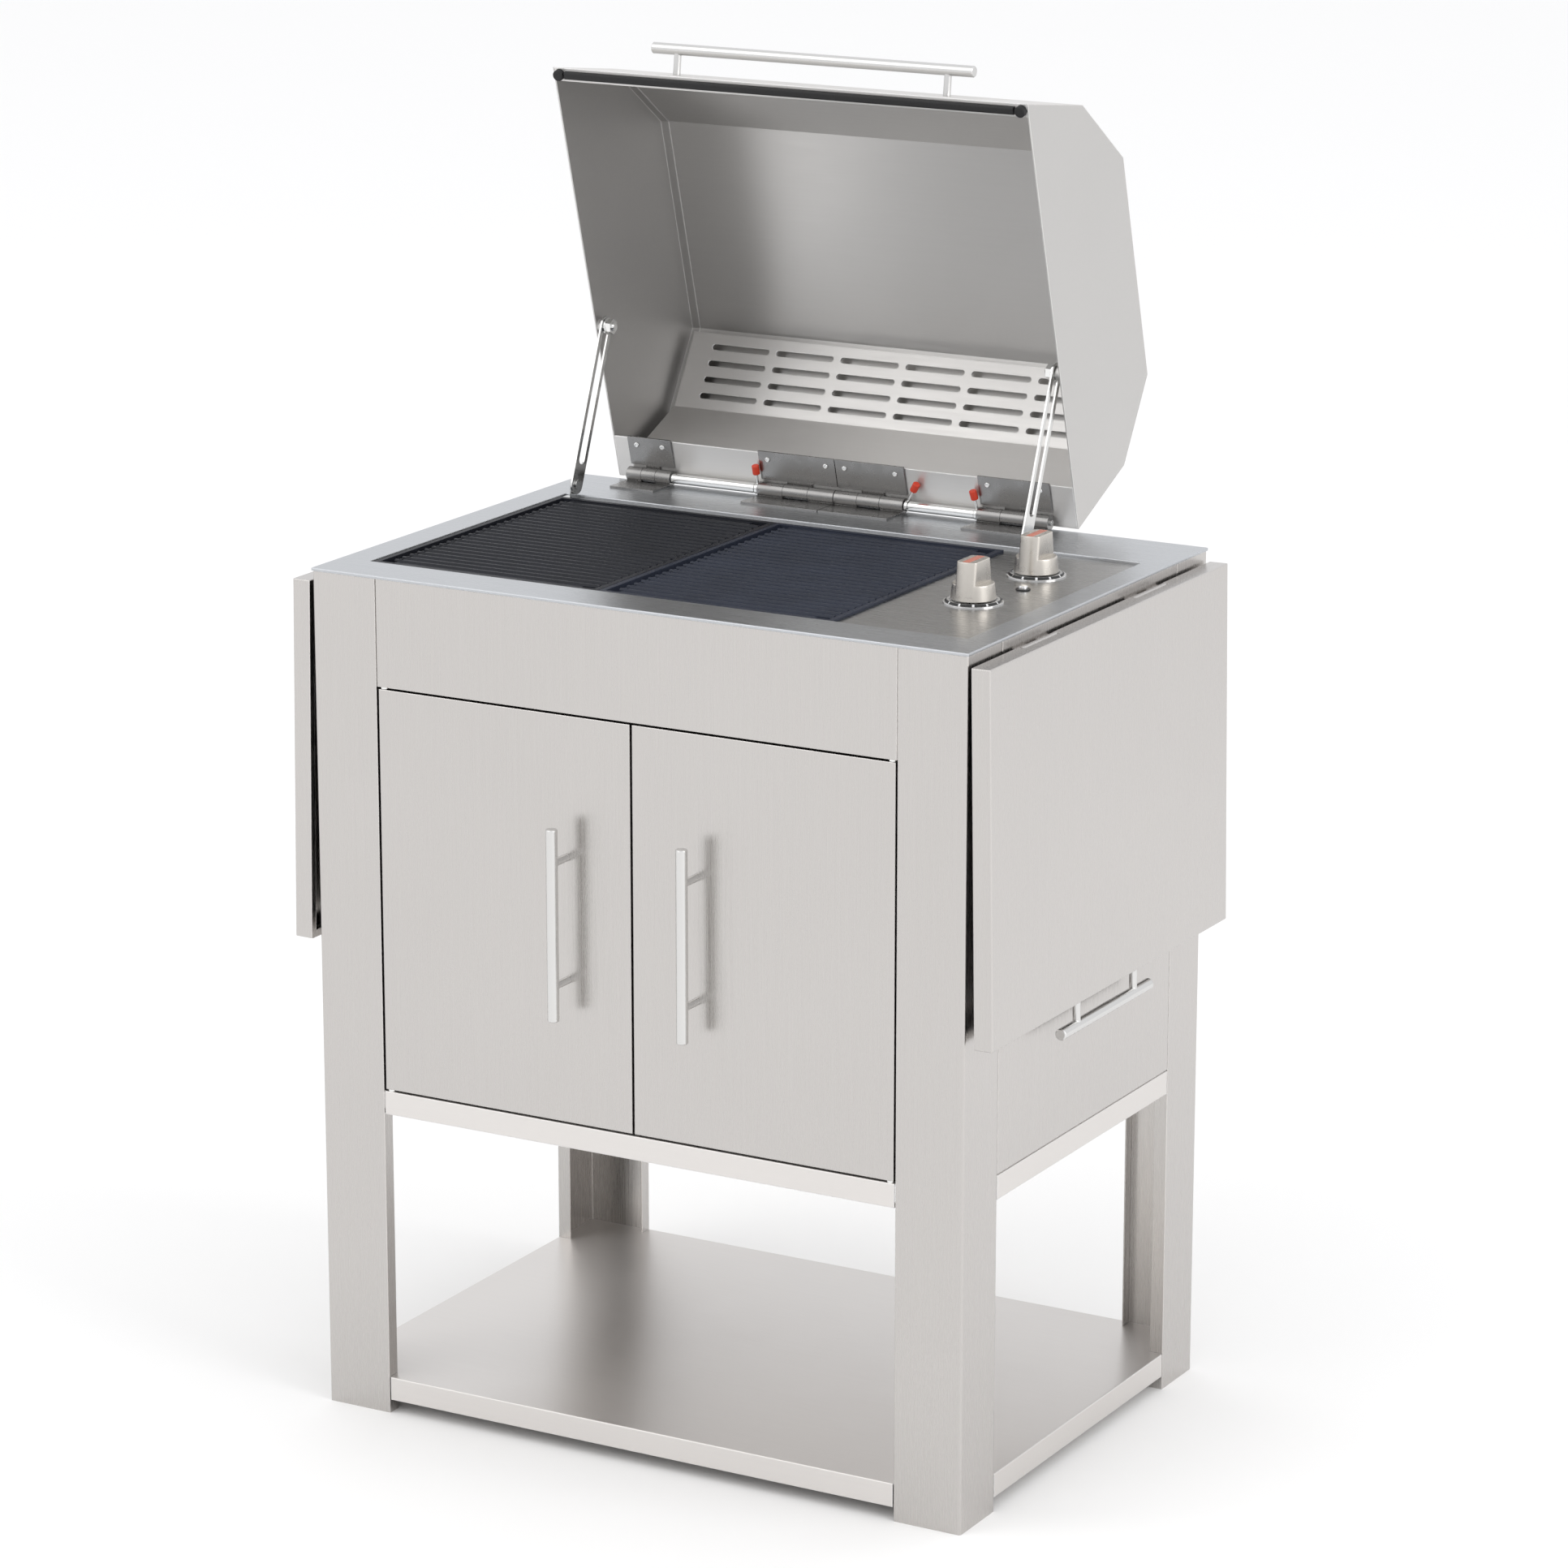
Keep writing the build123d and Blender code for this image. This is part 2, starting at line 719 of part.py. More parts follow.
door_width = lip_x - door_gap - door_gap / 2
door_bottom = cabinet_floor_top + door_gap
door_top = fascia_bottom - door_gap
pivot_x = lip_x - door_gap - door_pivot_inset
pivot_y = -half_depth + door_pivot_inset
door = folded_panel(door_width, door_top - door_bottom, door_depth, lip=door_lip)
door = Pos(door_gap / 2 + door_width / 2, -half_depth, door_bottom) * door
door -= rod((pivot_x, pivot_y, door_bottom), (pivot_x, pivot_y, door_top), door_pin_radius + running_gap)
door = rounded_along(door, Axis.Z, bend, lambda c: c.Y < -half_depth + touching)
parts["door_right"] = door
parts["door_left"] = mirrored(door)

handle = bar_handle(door_handle_length, door_handle_posts, handle_standoff)
handle_plane = Plane(origin=(door_handle_x, -half_depth, door_handle_z), x_dir=(0, 0, 1), z_dir=(0, -1, 0))
parts["door_handle_right"] = handle_plane * handle
parts["door_handle_left"] = mirrored(parts["door_handle_right"])

pins = []
collar_length = door_gap - clearance
for x in (-pivot_x, pivot_x):
    for start, way in ((cabinet_floor_top, 1), (fascia_bottom, -1)):
        pin = rod((x, pivot_y, start), (x, pivot_y, start + way * door_pin_length), door_pin_radius)
        pin += rod((x, pivot_y, start), (x, pivot_y, start + way * collar_length), door_collar_radius)
        pins.append(pin)
parts["door_hinge_pins"] = Compound(pins)

catch_y = -half_depth + door_depth + catch_gap
parts["door_catch"] = block(
    (-catch_width / 2, catch_y, fascia_bottom - catch_height),
    (catch_width / 2, catch_y + catch_depth, fascia_bottom),
)

# ---------------------------------------------------------------- lid, drawn shut and level, then swung open


def opened(shape):
    """A lid piece swung from shut and level to where it rests open."""
    return shape.rotate(Axis((0, hinge_y, hinge_z), (1, 0, 0)), -lid_open_angle)


def lid_point(forward, height):
    """(y, z) of a point given forward from the lid's rear bottom edge and up, with the lid shut and level."""
    return (lid_rear - forward, lid_bottom + height)


rim_line = [(lid_rear_rim, 0.0)] + lid_profile + [(lid_profile[-1][0] - lid_front_rim, 0.0)]
outside = [lid_point(*point) for point in rim_line]
parts["lid_shell"] = opened(folded_sheet("x", outside, sheet, lid_left + sheet, lid_right - sheet))

end_outline = [lid_point(*point) for point in lid_profile]
flange_line = shifted(outside, sheet)[2:-2]
end_plate = prism("x", end_outline, lid_right - sheet, lid_right)
end_plate += folded_sheet("x", flange_line, vent_sheet, lid_right - sheet - lid_end_flange, lid_right - sheet)
stud_y, stud_z = lid_point(stay_stud_forward, stay_stud_height)
boss_end = lid_right - stay_inset + stay_side_gap
end_plate += rod((boss_end, stud_y, stud_z), (lid_right - sheet, stud_y, stud_z), stud_boss_radius)
parts["lid_end_right"] = opened(end_plate)
parts["lid_end_left"] = opened(mirror(end_plate, about=Plane.YZ.offset(lid_middle)))

vent_points = [lid_point(*point) for point in vent_line]
vent_left = lid_left + sheet + lid_end_flange
vent_right = lid_right - sheet - lid_end_flange
vent = folded_sheet("x", vent_points, vent_sheet, vent_left, vent_right)
slot_face = Plane(
    origin=(lid_middle + vent_shift, *[(a + b) / 2 for a, b in zip(*vent_points[2:])]),
    x_dir=(1, 0, 0),
    z_dir=(0, *left_side(*vent_points[2:])),
)
vent_slot = SlotOverall(vent_slot_length, vent_slot_width)
for place in GridLocations(vent_column_pitch, vent_row_pitch, vent_columns, vent_rows):
    vent -= extrude(slot_face * place * vent_slot, 2 * vent_sheet, both=True)
parts["lid_vent_panel"] = opened(vent)

# front facet, from the rim to the fold above it
front_low = lid_point(*lid_profile[-1])
front_high = lid_point(*lid_profile[-2])
along = lid_handle_height / (lid_profile[-2][1] - lid_profile[-1][1])
grip_y = front_low[0] + along * (front_high[0] - front_low[0])
grip_z = front_low[1] + along * (front_high[1] - front_low[1])
outward = left_side(front_low, front_high)
lid_grip = Plane(origin=(lid_middle, grip_y, grip_z), x_dir=(1, 0, 0), z_dir=(0, *outward))
parts["lid_handle"] = opened(lid_grip * bar_handle(lid_handle_length, lid_handle_posts, lid_handle_standoff))

seal_forward = lid_profile[-1][0] - lid_front_rim / 2
seal_y = lid_rear - seal_forward
buffer_edge = buffer_radius + sheet
seal_ends = (lid_left + buffer_edge + buffer_radius + seam, lid_right - buffer_edge - buffer_radius - seam)
seal = block(
    (seal_ends[0], seal_y - seal_width / 2, lid_bottom - seal_height),
    (seal_ends[1], seal_y + seal_width / 2, lid_bottom),
)
seal = rounded_along(seal, Axis.X, seal_width / 4, lambda c: c.Z < lid_bottom - seal_height / 2)
parts["lid_seal"] = opened(seal)
buffers = []
for x in (lid_left + buffer_edge, lid_right - buffer_edge):
    stop = rod((x, seal_y, lid_bottom), (x, seal_y, lid_bottom - buffer_height), buffer_radius)
    buffers.append(fillet(stop.edges().group_by(Axis.Z)[0], buffer_height / 4))
parts["lid_buffers"] = opened(Compound(buffers))

# ---------------------------------------------------------------- lid hinge

rod_start = hinge_sets[0][0] - hinge_leaf
rod_end = hinge_sets[-1][1] + hinge_leaf
bore = hinge_rod_radius + running_gap
parts["lid_hinge_rod"] = rod((rod_start, hinge_y, hinge_z), (rod_end, hinge_y, hinge_z), hinge_rod_radius)


def knuckle(start, stop, radius, hole):
    """Rolled end of a hinge leaf around the lid's hinge rod."""
    sleeve = rod((start, hinge_y, hinge_z), (stop, hinge_y, hinge_z), radius)
    return sleeve - rod((start - overrun, hinge_y, hinge_z), (stop + overrun, hinge_y, hinge_z), hole)


fixed_leaves = []
lid_leaves = []
for start, stop in hinge_sets:
    third = (stop - start) / 3
    leaf_front = hinge_y - hinge_leaf_length
    lower = block((start, leaf_front, worktop_height), (stop, hinge_y, worktop_height + hinge_leaf))
    clear_of_lid = block(
        (start + third - knuckle_gap, hinge_y - knuckle_radius - overrun, worktop_height),
        (stop - third + knuckle_gap, hinge_y, worktop_height + hinge_leaf),
    )
    lower = lower - clear_of_lid
    lower += knuckle(start, start + third, knuckle_radius, hinge_rod_radius)
    lower += knuckle(stop - third, stop, knuckle_radius, hinge_rod_radius)
    fixed_leaves.append(lower - rod((start, hinge_y, hinge_z), (stop, hinge_y, hinge_z), hinge_rod_radius))

    upper = block((start, leaf_front, lid_bottom - hinge_leaf), (stop, hinge_y, lid_bottom))
    for side_start, side_stop in ((start, start + third + knuckle_gap), (stop - third - knuckle_gap, stop)):
        upper -= block(
            (side_start, hinge_y - knuckle_radius - overrun, lid_bottom - hinge_leaf),
            (side_stop, hinge_y, lid_bottom),
        )
    upper += knuckle(start + third + knuckle_gap, stop - third - knuckle_gap, knuckle_radius, bore)
    upper -= rod((start, hinge_y, hinge_z), (stop, hinge_y, hinge_z), bore)
    lid_leaves.append(upper)
parts["lid_hinge_fixed_leaves"] = Compound(fixed_leaves)
parts["lid_hinge_leaves"] = opened(Compound(lid_leaves))
parts["lid_hinge_tubes"] = Compound([knuckle(*ends, tube_radius, hinge_rod_radius) for ends in hinge_tubes])

springs = []
caps = []
leg_z = lid_bottom - hinge_leaf - spring_cap_radius - clearance
for x, slant in spring_places:
    ring = knuckle(x - spring_width / 2, x + spring_width / 2, spring_ring_radius, bore)
    foot = (x, hinge_y - hinge_rod_radius - spring_wire_radius - clearance, leg_z)
    tip = (x + slant, hinge_y - spring_leg, leg_z)
    cap_share = 1 - spring_cap_length / math.dist(foot, tip)
    cap_foot = tuple(a + (b - a) * cap_share for a, b in zip(foot, tip))
    springs.append(ring + rod(foot, cap_foot, spring_wire_radius))
    cap = rod(cap_foot, tip, spring_cap_radius)
    caps.append(fillet(cap.edges().filter_by(GeomType.CIRCLE), spring_cap_radius / 3))
parts["lid_springs"] = opened(Compound(springs))
parts["lid_spring_caps"] = opened(Compound(caps))

# ---------------------------------------------------------------- lid stays


def about_hinge(y, z, degrees):
    """(y, z) turned about the lid's hinge."""
    angle = math.radians(degrees)
    dy = y - hinge_y
    dz = z - hinge_z
    return (
        hinge_y + dy * math.cos(angle) - dz * math.sin(angle),
        hinge_z + dy * math.sin(angle) + dz * math.cos(angle),
    )


stay_pivot_y = plates_rear + stay_plate_gap + stay_width / 2
pivot = (stay_pivot_y, frame_top + stay_pivot_height)
stud_open = about_hinge(stud_y, stud_z, -lid_open_angle)
stud_shut = about_hinge(stud_y, stud_z, lid_dip_angle)
reach_open = math.dist(pivot, stud_open)
reach_shut = math.dist(pivot, stud_shut)
stay_open_angle = math.degrees(math.atan2(stud_open[1] - pivot[1], stud_open[0] - pivot[0]))

stay_outer_x = lid_right - stay_inset
stay_inner_x = stay_outer_x - stay_thickness
stay_plane = Plane(
    origin=(stay_inner_x, *pivot),
    x_dir=(0, math.cos(math.radians(stay_open_angle)), math.sin(math.radians(stay_open_angle))),
    z_dir=(1, 0, 0),
)
arm_length = reach_open + stay_width
slot_start = min(stay_width, reach_shut - stay_slot)
slot_end = reach_open + stay_slot / 2
arm = Pos(reach_open / 2, 0) * SlotOverall(arm_length, stay_width)
arm -= Pos((slot_start + slot_end) / 2, 0) * SlotOverall(slot_end - slot_start, stay_slot)
arm -= Circle(stay_pin_radius + running_gap)
stay = extrude(stay_plane * arm, stay_thickness)

ear_inner = stay_outer_x + stay_side_gap
ear_rear = opening_rear - clearance
ear_front = ear_rear - stay_ear_width
ear_top = pivot[1] + stay_ear_width / 2
ear = block((ear_inner, ear_front, frame_top), (ear_inner + sheet, ear_rear, ear_top))
ear += block((ear_inner, ear_front, frame_top), (ear_inner + stay_ear_width, ear_rear, frame_top + sheet))
ear += rod((stay_inner_x - clearance, *pivot), (ear_inner, *pivot), stay_pin_radius)
ear += rod((stay_inner_x - clearance - sheet, *pivot), (stay_inner_x - clearance, *pivot), stay_pin_head)

washer_x = stay_inner_x - clearance - stud_washer
nut_x = washer_x - stud_nut
stud = rod((nut_x - stud_tip, *stud_open), (stay_outer_x + stay_side_gap / 2, *stud_open), stud_radius)
stud = chamfer(stud.edges().group_by(Axis.X)[0], stud_tip / 2)
stud += rod((washer_x, *stud_open), (washer_x + stud_washer, *stud_open), stud_washer_radius)
nut_face = Plane(origin=(nut_x, *stud_open), z_dir=(1, 0, 0))
stud += extrude(nut_face * RegularPolygon(stud_nut_radius, 6), stud_nut)

across_lid = Plane.YZ.offset(lid_middle)
parts["lid_stay_right"] = stay
parts["lid_stay_left"] = mirror(stay, about=across_lid)
parts["lid_stay_stud_right"] = stud
parts["lid_stay_stud_left"] = mirror(stud, about=across_lid)
parts["lid_stay_brackets"] = Compound([ear, mirror(ear, about=across_lid)])

# ------------------------------------------------------------ drop leaves, drawn hanging plumb, then splayed

leaf_inner_x = half_width + leaf_gap
leaf_outer_x = leaf_inner_x + leaf_thickness
leaf_axis_x = leaf_inner_x + leaf_hinge_inset
leaf_axis_z = worktop_height - (leaf_outer_x - leaf_axis_x)
leaf_top = leaf_axis_z + leaf_axis_x - (half_width + worktop_overhang + leaf_top_gap)
leaf_bottom = leaf_top - leaf_drop


def splayed(shape):
    """A leaf piece leaned out to where the hanging leaf rests."""
    return shape.rotate(Axis((leaf_axis_x, 0, leaf_axis_z), (0, 1, 0)), -leaf_splay)


leaf = block((leaf_inner_x, -leaf_length / 2, leaf_bottom), (leaf_outer_x, leaf_length / 2, leaf_top))
leaf -= block(
    (leaf_inner_x + sheet, -leaf_length / 2 + sheet, leaf_bottom + sheet),
    (leaf_outer_x - sheet, leaf_length / 2 - sheet, leaf_top - sheet),
)
leaf -= block(
    (leaf_inner_x, -leaf_length / 2 + leaf_lip, leaf_bottom + leaf_lip),
    (leaf_inner_x + sheet, leaf_length / 2 - leaf_lip, leaf_top - leaf_lip),
)
half_hinge = leaf_hinge_width / 2
knuckle_room = leaf_knuckle_radius + overrun
for y in leaf_hinge_places:
    leaf -= block(
        (leaf_inner_x, y - half_hinge - overrun, leaf_axis_z - knuckle_room - overrun),
        (leaf_axis_x + knuckle_room, y + half_hinge + overrun, leaf_top),
    )
leaf = rounded_along(leaf, Axis.Y, bend, lambda c: c.X > leaf_outer_x - touching)
leaf = rounded_along(leaf, Axis.Z, bend, lambda c: c.X > leaf_outer_x - touching)
stay_axis_x = (leaf_inner_x + leaf_outer_x) / 2
stay_axis_z = leaf_axis_z - leaf_stay_pivot
arm_y = leaf_stay_spread / 2
for side in (-1, 1):
    ear_near = side * (arm_y + leaf_stay_thickness / 2 + leaf_stay_side_gap)
    ear_far = ear_near + side * leaf_stay_ear
    ear_span = sorted((ear_near, ear_far))
    leaf += block(
        (stay_axis_x - leaf_stay_width / 2, ear_span[0], stay_axis_z - leaf_stay_width / 2),
        (leaf_outer_x - sheet, ear_span[1], stay_axis_z + leaf_stay_width / 2),
    )
    leaf += rod(
        (stay_axis_x, ear_far, stay_axis_z),
        (stay_axis_x, side * (arm_y - leaf_stay_thickness / 2 - overrun), stay_axis_z),
        leaf_stay_pin_radius,
    )


def leaf_knuckle(start, stop, hole):
    """Rolled end of a leaf hinge plate."""
    sleeve = rod((leaf_axis_x, start, leaf_axis_z), (leaf_axis_x, stop, leaf_axis_z), leaf_knuckle_radius)
    bore_start = (leaf_axis_x, start - overrun, leaf_axis_z)
    return sleeve - rod(bore_start, (leaf_axis_x, stop + overrun, leaf_axis_z), hole)


hinge_plates = []
leaf_pins = []
third = leaf_hinge_width / 3
for y in leaf_hinge_places:
    start = y - half_hinge
    stop = y + half_hinge
    plate_foot = leaf_axis_z - 3 * leaf_knuckle_radius
    plate = block((half_width, start, plate_foot), (half_width + leaf_plate, stop, leaf_axis_z))
    for first, last in ((start, start + third), (stop - third, stop)):
        plate += block(
            (half_width, first, leaf_axis_z - leaf_plate / 2),
            (leaf_axis_x, last, leaf_axis_z + leaf_plate / 2),
        )
        plate += leaf_knuckle(first, last, leaf_pin_radius)
    plate -= rod((leaf_axis_x, start, leaf_axis_z), (leaf_axis_x, stop, leaf_axis_z), leaf_pin_radius)
    hinge_plates.append(plate)
    pin_end = (leaf_axis_x, stop, leaf_axis_z)
    leaf_pins.append(rod((leaf_axis_x, start, leaf_axis_z), pin_end, leaf_pin_radius))
    inner_start = start + third + knuckle_gap
    inner_stop = stop - third - knuckle_gap
    web = block(
        (leaf_axis_x, inner_start, leaf_axis_z - leaf_plate / 2),
        (leaf_outer_x - sheet, inner_stop, leaf_axis_z + leaf_plate / 2),
    )
    web += leaf_knuckle(inner_start, inner_stop, leaf_pin_radius + running_gap)
    web -= rod(
        (leaf_axis_x, inner_start, leaf_axis_z),
        (leaf_axis_x, inner_stop, leaf_axis_z),
        leaf_pin_radius + running_gap,
    )
    leaf += web
parts["leaf_right"] = splayed(leaf)
parts["leaf_left"] = mirrored(parts["leaf_right"])
parts["leaf_hinge_plates"] = Compound(hinge_plates + [mirrored(plate) for plate in hinge_plates])
parts["leaf_hinge_pins"] = Compound(leaf_pins + [mirrored(pin) for pin in leaf_pins])

leaf_handle_plane = Plane(origin=(stay_axis_x, 0, leaf_bottom), x_dir=(0, 1, 0), z_dir=(0, 0, -1))
leaf_handle = leaf_handle_plane * bar_handle(leaf_handle_length, leaf_handle_posts, handle_standoff - 1)
parts["leaf_handle_right"] = splayed(leaf_handle)
parts["leaf_handle_left"] = mirrored(parts["leaf_handle_right"])

bail_low = stay_axis_z - leaf_stay_length
bail = rod((stay_axis_x, -arm_y, bail_low), (stay_axis_x, arm_y, bail_low), leaf_stay_bar_radius)
for y in (-arm_y, arm_y):
    arm_corner = (stay_axis_x, y - leaf_stay_thickness / 2, stay_axis_z)
    arm_plane = Plane(origin=arm_corner, x_dir=(0, 0, -1), z_dir=(0, 1, 0))
    outline = Pos(leaf_stay_length / 2, 0) * SlotOverall(leaf_stay_length + leaf_stay_width, leaf_stay_width)
    outline -= Circle(leaf_stay_pin_radius + running_gap)
    bail += extrude(arm_plane * outline, leaf_stay_thickness)
parts["leaf_stay_right"] = splayed(bail)
parts["leaf_stay_left"] = mirrored(parts["leaf_stay_right"])

# where the stay's cross bar rests with the leaf raised
rest_drop = math.sqrt(leaf_stay_length**2 - leaf_stay_pivot**2)
rest_z = leaf_axis_z + (stay_axis_x - leaf_axis_x) - rest_drop
catch = block(
    (half_width, -arm_y, rest_z - leaf_catch_drop - leaf_catch_height),
    (half_width + leaf_catch_reach, arm_y, rest_z - leaf_catch_drop),
)
parts["leaf_stay_catches"] = Compound([catch, mirrored(catch)])

# ---------------------------------------------------------------- files

os.makedirs("parts", exist_ok=True)
for name, shape in parts.items():
    export_step(shape, f"parts/{name}.step")
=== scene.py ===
import math

import bmesh
import bpy
from mathutils import Matrix, Vector


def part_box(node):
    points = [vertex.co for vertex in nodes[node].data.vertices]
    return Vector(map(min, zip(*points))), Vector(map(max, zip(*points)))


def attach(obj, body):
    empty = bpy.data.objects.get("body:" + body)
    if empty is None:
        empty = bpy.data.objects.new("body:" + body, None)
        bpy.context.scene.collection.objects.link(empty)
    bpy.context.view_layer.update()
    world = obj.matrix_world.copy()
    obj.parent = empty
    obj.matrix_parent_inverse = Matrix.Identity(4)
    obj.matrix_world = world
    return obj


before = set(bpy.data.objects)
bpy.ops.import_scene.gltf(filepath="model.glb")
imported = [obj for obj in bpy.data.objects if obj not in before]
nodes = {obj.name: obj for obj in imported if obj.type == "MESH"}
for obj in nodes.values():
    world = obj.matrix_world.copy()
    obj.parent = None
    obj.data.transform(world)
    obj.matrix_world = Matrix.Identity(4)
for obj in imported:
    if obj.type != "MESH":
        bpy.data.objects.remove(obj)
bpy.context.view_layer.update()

# ---------------------------------------------------------------- cart
# Legs, shelves, fascia, side and rear panels: 1.5 mm stainless sheet, folded, its fine
# brushed grain running upright. They are spot welded, so no screws show.

SHEET_COLOUR = (0.555, 0.535, 0.518)
FOLD_RADIUS = 0.0016
FINE_GRAIN = 1500.0
FINE_GRAIN_ALONG = 14.0
COARSE_GRAIN = 260.0
COARSE_GRAIN_ALONG = 5.0
CLOUDS = (4.0, 4.0, 4.0)
BAND_SHARE = 0.45
CLOUD_SHARE = (0.1, 0.45)
SCRATCH_DEPTH = 0.00006
QUARTER_TURN = 0.25


def shader_of(material):
    """The material's shader, with its tree ready for more nodes."""
    material.use_nodes = True
    return material.node_tree.nodes["Principled BSDF"]


def noise(tree, scale, detail, roughness=0.5):
    """Noise that lies still on the piece. A scale of three numbers draws it out into a grain."""
    place = tree.nodes.new("ShaderNodeTexCoord")
    stretch = tree.nodes.new("ShaderNodeMapping")
    stretch.inputs["Scale"].default_value = scale
    speckle = tree.nodes.new("ShaderNodeTexNoise")
    speckle.inputs["Scale"].default_value = 1.0
    speckle.inputs["Detail"].default_value = detail
    speckle.inputs["Roughness"].default_value = roughness
    tree.links.new(place.outputs["Object"], stretch.inputs["Vector"])
    tree.links.new(stretch.outputs["Vector"], speckle.inputs["Vector"])
    return speckle.outputs["Fac"]


def ranged(tree, value, low, high, start=0.3, stop=0.7):
    """A value spread from low to high as it goes from start to stop."""
    spread = tree.nodes.new("ShaderNodeMapRange")
    spread.inputs["From Min"].default_value = start
    spread.inputs["From Max"].default_value = stop
    spread.inputs["To Min"].default_value = low
    spread.inputs["To Max"].default_value = high
    tree.links.new(value, spread.inputs["Value"])
    return spread.outputs["Result"]


def tinted(tree, value, dark, light):
    """A colour between dark and light."""
    mix = tree.nodes.new("ShaderNodeMix")
    mix.data_type = "RGBA"
    mix.inputs[6].default_value = (*dark, 1.0)
    mix.inputs[7].default_value = (*light, 1.0)
    tree.links.new(value, mix.inputs[0])
    return mix.outputs[2]


def painted_edge_highlight(tree, colour, edge, bright):
    """A colour that goes to bright where the edge mask is 1: a painted highlight along the edges.
    """
    mix = tree.nodes.new("ShaderNodeMix")
    mix.data_type = "RGBA"
    mix.inputs[7].default_value = (*bright, 1.0)
    tree.links.new(edge, mix.inputs[0])
    tree.links.new(colour, mix.inputs[6])
    return mix.outputs[2]


def eased_edges(tree, radius):
    """(normal of softly rounded edges, mask that is 1 on them)."""
    ease = tree.nodes.new("ShaderNodeBevel")
    ease.samples = 4
    ease.inputs["Radius"].default_value = radius
    face = tree.nodes.new("ShaderNodeNewGeometry")
    turn = tree.nodes.new("ShaderNodeVectorMath")
    turn.operation = "DOT_PRODUCT"
    tree.links.new(ease.outputs["Normal"], turn.inputs[0])
    tree.links.new(face.outputs["Normal"], turn.inputs[1])
    return ease.outputs["Normal"], ranged(tree, turn.outputs["Value"], 1.0, 0.0, 0.75, 0.99)


def raised(tree, shader, value, strength, depth, normal=None):
    """Relief from a value, on top of the eased edges."""
    bump = tree.nodes.new("ShaderNodeBump")
    bump.inputs["Strength"].default_value = strength
    bump.inputs["Distance"].default_value = depth
    tree.links.new(value, bump.inputs["Height"])
    if normal is not None:
        tree.links.new(normal, bump.inputs["Normal"])
    tree.links.new(bump.outputs["Normal"], shader.inputs["Normal"])


def shade(colour, factor):
    """A colour made darker or lighter."""
    return tuple(min(1.0, part * factor) for part in colour)


def stretched_shine(tree, shader, grain, amount):
    """Draws reflections out across the grain, as brushing does, and turns with the piece."""
    along = tree.nodes.new("ShaderNodeVectorTransform")
    along.vector_type = "VECTOR"
    along.convert_from = "OBJECT"
    along.convert_to = "WORLD"
    along.inputs["Vector"].default_value = [float(axis == grain) for axis in "xyz"]
    shader.inputs["Anisotropic"].default_value = amount
    shader.inputs["Anisotropic Rotation"].default_value = QUARTER_TURN
    tree.links.new(along.outputs["Vector"], shader.inputs["Tangent"])


def brushed(name, colour, grain, smooth, rough, strength=0.35, drawn=0.0):
    """Brushed metal: scratches along one axis, a slow cloudiness, and a painted highlight along
    the edges.
    """
    fine = [FINE_GRAIN_ALONG if axis == grain else FINE_GRAIN for axis in "xyz"]
    coarse = [COARSE_GRAIN_ALONG if axis == grain else COARSE_GRAIN for axis in "xyz"]
    material = bpy.data.materials.new(name)
    shader = shader_of(material)
    tree = material.node_tree
    shader.inputs["Metallic"].default_value = 1.0
    scratches = noise(tree, fine, 3.0, 0.6)
    bands = noise(tree, coarse, 2.0)
    clouds = noise(tree, CLOUDS, 2.0)
    normal, edge = eased_edges(tree, FOLD_RADIUS)
    mixed = tree.nodes.new("ShaderNodeMath")
    mixed.operation = "MULTIPLY_ADD"
    mixed.inputs[1].default_value = BAND_SHARE
    tree.links.new(bands, mixed.inputs[0])
    tree.links.new(ranged(tree, clouds, *CLOUD_SHARE), mixed.inputs[2])
    tone = tinted(tree, mixed.outputs["Value"], shade(colour, 0.975), shade(colour, 1.025))
    # The edges are painted 1.6 times brighter, a painted highlight.
    tree.links.new(painted_edge_highlight(tree, tone, edge, shade(colour, 1.6)), shader.inputs["Base Color"])
    tree.links.new(ranged(tree, scratches, smooth, rough), shader.inputs["Roughness"])
    raised(tree, shader, scratches, strength, SCRATCH_DEPTH, normal)
    if drawn:
        stretched_shine(tree, shader, grain, drawn)
    return material


def finish(material, *names):
    """Gives CAD nodes their finish."""
    for name in names:
        mesh = nodes[name].data
        mesh.materials.clear()
        mesh.materials.append(material)


sheet_upright = brushed("stainless_sheet_upright_grain", SHEET_COLOUR, "z", smooth=0.2, rough=0.34)
# The shelf and cabinet floor take this sheet painted a third lighter: painted light on their upper
# faces.
sheet_across_painted_lighter = brushed(
    "stainless_sheet_cross_grain_painted_lighter", shade(SHEET_COLOUR, 1.32), "x", smooth=0.3, rough=0.4, drawn=0.8
)
finish(
    sheet_upright,
    "leg_front_left",
    "leg_front_right",
    "leg_rear_left",
    "leg_rear_right",
    "front_fascia",
    "side_panel_left",
    "side_panel_right",
    "rear_panel",
    "leaf_stay_catches",
    "leaf_hinge_plates",
)
finish(sheet_across_painted_lighter, "bottom_shelf", "cabinet_floor")

# ---------------------------------------------------------------- worktop and control deck
# The worktop is a 3 mm stainless frame with a chamfered edge, brushed lengthways and a
# little cooler in tone. The deck under it is thinner, and darker all over.

WORKTOP_COLOUR = (0.50, 0.515, 0.535)
DECK_COLOUR = (0.40, 0.396, 0.392)

finish(brushed("worktop_sheet", WORKTOP_COLOUR, "x", smooth=0.22, rough=0.36), "worktop_frame")
finish(brushed("deck_sheet", DECK_COLOUR, "x", smooth=0.2, rough=0.34), "control_deck")

# ---------------------------------------------------------------- firebox, burners and drip tray
# Hidden under the plates: plain welded sheet, dulled and tanned by heat. The tray runs on
# two folded rails and is drawn out at the back.

HOT_SHEET_COLOUR = (0.46, 0.435, 0.40)

